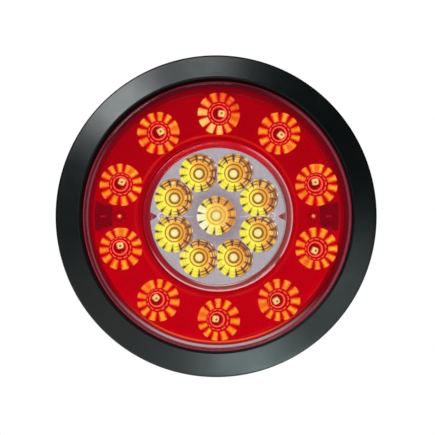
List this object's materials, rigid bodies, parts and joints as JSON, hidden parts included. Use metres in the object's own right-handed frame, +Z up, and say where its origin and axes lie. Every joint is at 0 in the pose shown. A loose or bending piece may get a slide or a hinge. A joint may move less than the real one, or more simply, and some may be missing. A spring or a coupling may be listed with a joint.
{
  "type": "trailer tail light",
  "caption": "Round rear lamp with an outer red lens, a clear centre lens, fluted optics over light-emitting diodes, a black rubber mounting grommet and a rear connector socket.",
  "frame": {"origin": "on the lamp's axis, in the plane where the grommet's flange rests on the front of the panel", "axes": "+Z up, +X to the right seen from in front, the lamp faces -Y and its connector points along +Y"},
  "size_m": [0.13, 0.0456, 0.13],
  "materials": {
    "black_rubber": "satin moulded rubber",
    "black_plastic": "fine moulded texture",
    "red_lens": "clear red acrylic, polished",
    "clear_lens": "clear acrylic, polished",
    "pink_joint": "tinted weld ring, polished",
    "red_plate": "satin red moulding",
    "lilac_plate": "satin metallised moulding",
    "green_laminate": "solder resist over glass laminate",
    "orange_optic": "fluted optic, polished",
    "gold_optic": "fluted optic, polished",
    "diode_resin": "clear resin dome on a white base",
    "screw_steel": "zinc plated",
    "tinned_brass": "tinned",
    "can_aluminium": "satin can",
    "black_epoxy": "moulded package",
    "white_membrane": "woven breathing membrane"
  },
  "bodies": {
    "root": {"grommet": "black_rubber", "housing": "black_plastic", "lens_seal": "black_rubber", "outer_lens": "red_lens", "centre_lens": "clear_lens", "lens_joint_ring": "pink_joint", "light_divider": "lilac_plate", "red_zone_plate": "red_plate", "centre_zone_plate": "lilac_plate", "circuit_board": "green_laminate", "red_optic_01": "orange_optic", "red_optic_02": "orange_optic", "red_optic_03": "orange_optic", "red_optic_04": "orange_optic", "red_optic_05": "orange_optic", "red_optic_06": "orange_optic", "red_optic_07": "orange_optic", "red_optic_08": "orange_optic", "red_optic_09": "orange_optic", "red_optic_10": "orange_optic", "red_diode_01": "diode_resin", "red_diode_02": "diode_resin", "red_diode_03": "diode_resin", "red_diode_04": "diode_resin", "red_diode_05": "diode_resin", "red_diode_06": "diode_resin", "red_diode_07": "diode_resin", "red_diode_08": "diode_resin", "red_diode_09": "diode_resin", "red_diode_10": "diode_resin", "clear_optic_01": "gold_optic", "clear_optic_02": "gold_optic", "clear_optic_03": "gold_optic", "clear_optic_04": "gold_optic", "clear_optic_05": "gold_optic", "clear_optic_06": "gold_optic", "clear_optic_07": "gold_optic", "clear_optic_08": "gold_optic", "clear_diode_01": "diode_resin", "clear_diode_02": "diode_resin", "clear_diode_03": "diode_resin", "clear_diode_04": "diode_resin", "clear_diode_05": "diode_resin", "clear_diode_06": "diode_resin", "clear_diode_07": "diode_resin", "clear_diode_08": "diode_resin", "centre_optic": "gold_optic", "centre_diode": "diode_resin", "plate_screw_left": "screw_steel", "plate_screw_right": "screw_steel", "connector_socket": "black_plastic", "terminal_earth": "tinned_brass", "terminal_tail": "tinned_brass", "terminal_stop": "tinned_brass", "terminal_indicator": "tinned_brass", "vent_cap": "black_plastic", "vent_membrane": "white_membrane", "smoothing_capacitor": "can_aluminium", "tail_driver": "black_epoxy", "indicator_driver": "black_epoxy"}
  },
  "joints": []
}
